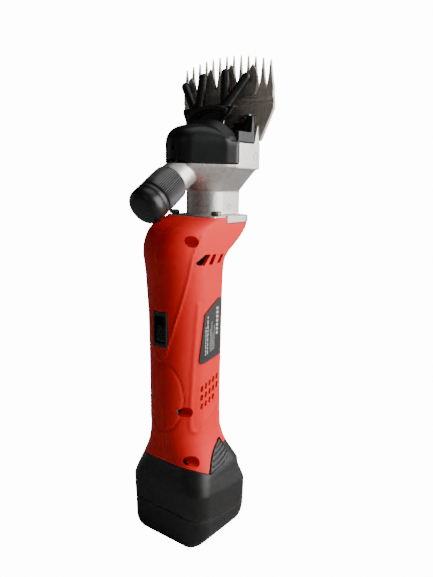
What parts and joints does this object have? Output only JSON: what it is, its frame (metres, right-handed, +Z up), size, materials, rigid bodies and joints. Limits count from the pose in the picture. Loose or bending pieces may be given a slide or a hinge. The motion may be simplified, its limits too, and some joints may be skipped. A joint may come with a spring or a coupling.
{
  "type": "cordless sheep shears",
  "caption": "Upright battery-powered shearing handpiece: gripped handle with switch, cast head with tension knob, swinging fork, toothed cutter and comb.",
  "frame": {"origin": "a point on the battery's flat base, on which the tool stands, in the tool's mid-plane and 29.6 mm behind the front edge of the base", "axes": "+Z up along the tool from the battery base to the comb tips, -Y towards the side with the switch and the tension knob, +Y towards the side that lies on the animal, +X towards the tool's right side"},
  "size_m": [0.083, 0.0997, 0.3535],
  "materials": {
    "red_plastic": "matt moulded nylon",
    "black_plastic": "satin moulded nylon",
    "button_plastic": "fine textured plastic",
    "cast_aluminium": "satin, bead blasted casting",
    "steel": "turned",
    "dark_steel": "blackened",
    "blackened_steel": "blackened forging",
    "ground_steel": "ground tool steel with a brown cast",
    "label_film": "glossy film, blank",
    "cell_sleeve": "shrink sleeve",
    "circuit_board": "solder mask",
    "copper_winding": "varnished copper",
    "brass": "turned brass"
  },
  "bodies": {
    "handle": {"handle_shell_right": "red_plastic", "handle_shell_left": "red_plastic", "shell_screw_top": "dark_steel", "shell_screw_middle": "dark_steel", "shell_screw_low": "dark_steel", "shell_screw_rear_upper": "dark_steel", "shell_screw_rear_lower": "dark_steel", "label_right": "label_film", "label_left": "label_film", "switch_housing": "black_plastic", "circuit_board": "circuit_board", "heat_sink": "cast_aluminium", "handle_terminal": "black_plastic", "motor_can": "steel", "motor_end_bell": "black_plastic", "head_casting": "cast_aluminium", "head_cover": "black_plastic", "flange_screw_front_right": "dark_steel", "flange_screw_front_left": "dark_steel", "flange_screw_back_right": "dark_steel", "flange_screw_back_left": "dark_steel", "bearing_lower": "steel", "bearing_upper": "steel", "comb_screw_right": "dark_steel", "comb_screw_left": "dark_steel", "centre_post": "steel", "tension_sleeve": "steel"},
    "motor_rotor": {"motor_armature": "copper_winding", "motor_commutator": "brass", "motor_shaft": "steel", "motor_pinion": "brass", "cooling_fan": "black_plastic"},
    "crank": {"crank_gear": "steel", "crankshaft": "steel", "crank_roller": "brass"},
    "fork": {"fork": "blackened_steel", "cutter": "ground_steel"},
    "comb": {"comb": "ground_steel"},
    "tension_feed": {"tension_pin": "steel"},
    "tension_knob": {"tension_knob_grip": "black_plastic", "tension_knob_cap": "black_plastic"},
    "switch": {"switch_button": "button_plastic"},
    "battery": {"battery_case_lower": "black_plastic", "battery_case_upper": "black_plastic", "battery_cell_1": "cell_sleeve", "battery_cell_2": "cell_sleeve", "battery_cell_3": "cell_sleeve", "battery_cell_4": "cell_sleeve", "battery_contacts": "brass"},
    "latch_right": {"latch_right": "button_plastic"},
    "latch_left": {"latch_left": "button_plastic"}
  },
  "joints": [
    {"name": "crank_spin", "type": "hinge", "parent": "handle", "child": "crank", "pos_m": [0, 0.016, 0.23], "axis": [0, 0, 1], "continuous": true},
    {"name": "motor_spin", "type": "hinge", "parent": "handle", "child": "motor_rotor", "pos_m": [0, -0.005, 0.2], "axis": [0, 0, 1], "continuous": true},
    {"name": "fork_swing", "type": "hinge", "parent": "handle", "child": "fork", "pos_m": [0, 0.0146, 0.29], "axis": [0, 1, 0], "range_deg": [-4.62, 13.8]},
    {"name": "comb_slide", "type": "slide", "parent": "handle", "child": "comb", "axis": [0, 0, 1], "range_m": [0, 0.03]},
    {"name": "tension_knob_turn", "type": "hinge", "parent": "tension_feed", "child": "tension_knob", "pos_m": [0, -0.0231, 0.2628], "axis": [0, -0.832, -0.5548], "range_deg": [0, 728]},
    {"name": "tension_pin_feed", "type": "slide", "parent": "handle", "child": "tension_feed", "axis": [0, -0.832, -0.5548], "range_m": [0, 0.002]},
    {"name": "power_switch", "type": "slide", "parent": "handle", "child": "switch", "axis": [0, 0, 1], "range_m": [0, 0.006]},
    {"name": "battery_slide", "type": "slide", "parent": "handle", "child": "battery", "axis": [0, 0, -1], "range_m": [0, 0.045]},
    {"name": "latch_right_press", "type": "slide", "parent": "battery", "child": "latch_right", "axis": [-1, 0, 0], "range_m": [0, 0.0015], "stiffness_N_per_m": 900, "springref_m": -0.002},
    {"name": "latch_left_press", "type": "slide", "parent": "battery", "child": "latch_left", "axis": [1, 0, 0], "range_m": [0, 0.0015], "stiffness_N_per_m": 900, "springref_m": -0.002}
  ],
  "couplings": [
    {"joint": "motor_spin", "follows": "crank_spin", "ratio": -1.8},
    {"joint": "tension_knob_turn", "follows": "tension_pin_feed", "rad_per_m": 6283.2}
  ]
}
